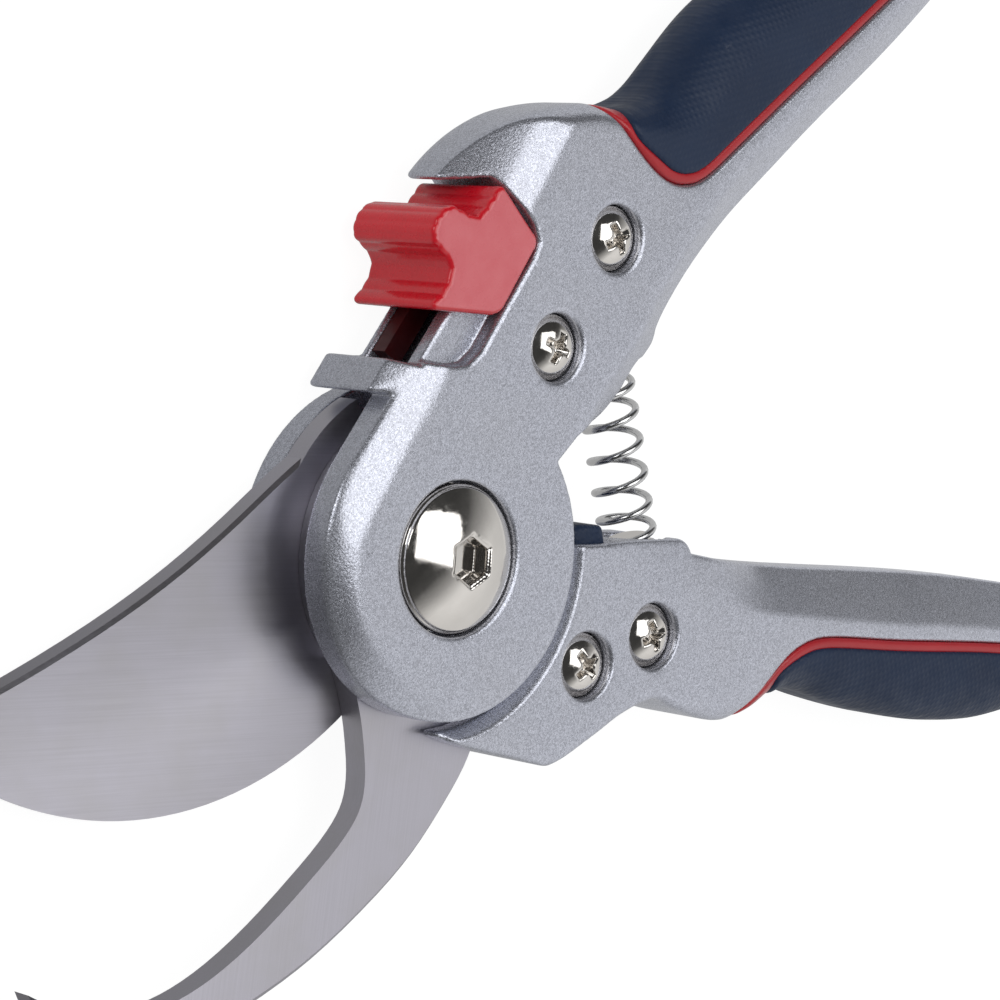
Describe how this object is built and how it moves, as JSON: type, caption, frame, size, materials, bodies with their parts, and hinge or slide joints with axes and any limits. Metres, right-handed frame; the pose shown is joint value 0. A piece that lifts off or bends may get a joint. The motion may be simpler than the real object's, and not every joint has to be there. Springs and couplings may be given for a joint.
{
  "type": "bypass pruner",
  "caption": "Hand pruner: curved blade swings past a fixed hook on a pivot bolt, with a coil return spring, soft grips and a sliding thumb lock.",
  "frame": {"origin": "where the pivot axis meets the underside, on the flat end of the pivot nut", "axes": "+Z along the pivot axis, from the nut to the domed head; +X towards the grips; +Y towards the handle with the thumb lock"},
  "size_m": [0.2035, 0.1282, 0.0203],
  "materials": {
    "handle_alloy": "sand-cast texture under silver lacquer",
    "trim_red": "smooth satin",
    "grip_navy": "fine dimpled texture",
    "blade_steel": "brushed along the blade",
    "plated_steel": "polished nickel plate",
    "spring_steel": "bright drawn wire",
    "bumper_rubber": "smooth",
    "slider_red": "glossy"
  },
  "bodies": {
    "hook_side": {"upper_handle": "handle_alloy", "upper_grip_trim": "trim_red", "upper_grip": "grip_navy", "hook_blade": "blade_steel", "pivot_bolt": "plated_steel", "pivot_nut": "plated_steel", "head_washer": "plated_steel", "nut_washer": "plated_steel", "upper_handle_screws": "plated_steel", "upper_spring_stud": "handle_alloy", "return_spring": "spring_steel", "lock_detent_ball": "plated_steel", "lock_detent_spring": "spring_steel"},
    "blade_side": {"lower_handle": "handle_alloy", "lower_grip_trim": "trim_red", "lower_grip": "grip_navy", "cutting_blade": "blade_steel", "lower_handle_screws": "plated_steel", "lower_spring_stud": "handle_alloy", "rubber_bumper": "bumper_rubber"},
    "lock": {"lock_slider": "slider_red", "lock_bolt": "blade_steel", "lock_rivet": "plated_steel"}
  },
  "joints": [
    {"name": "blade_pivot", "type": "hinge", "parent": "hook_side", "child": "blade_side", "pos_m": [0, 0, 0.009], "axis": [0, 0, 1], "range_deg": [0, 28], "deforming": ["return_spring"]},
    {"name": "lock_slide", "type": "slide", "parent": "hook_side", "child": "lock", "axis": [-0.7923, -0.6101, 0], "range_m": [0, 0.0072]}
  ]
}
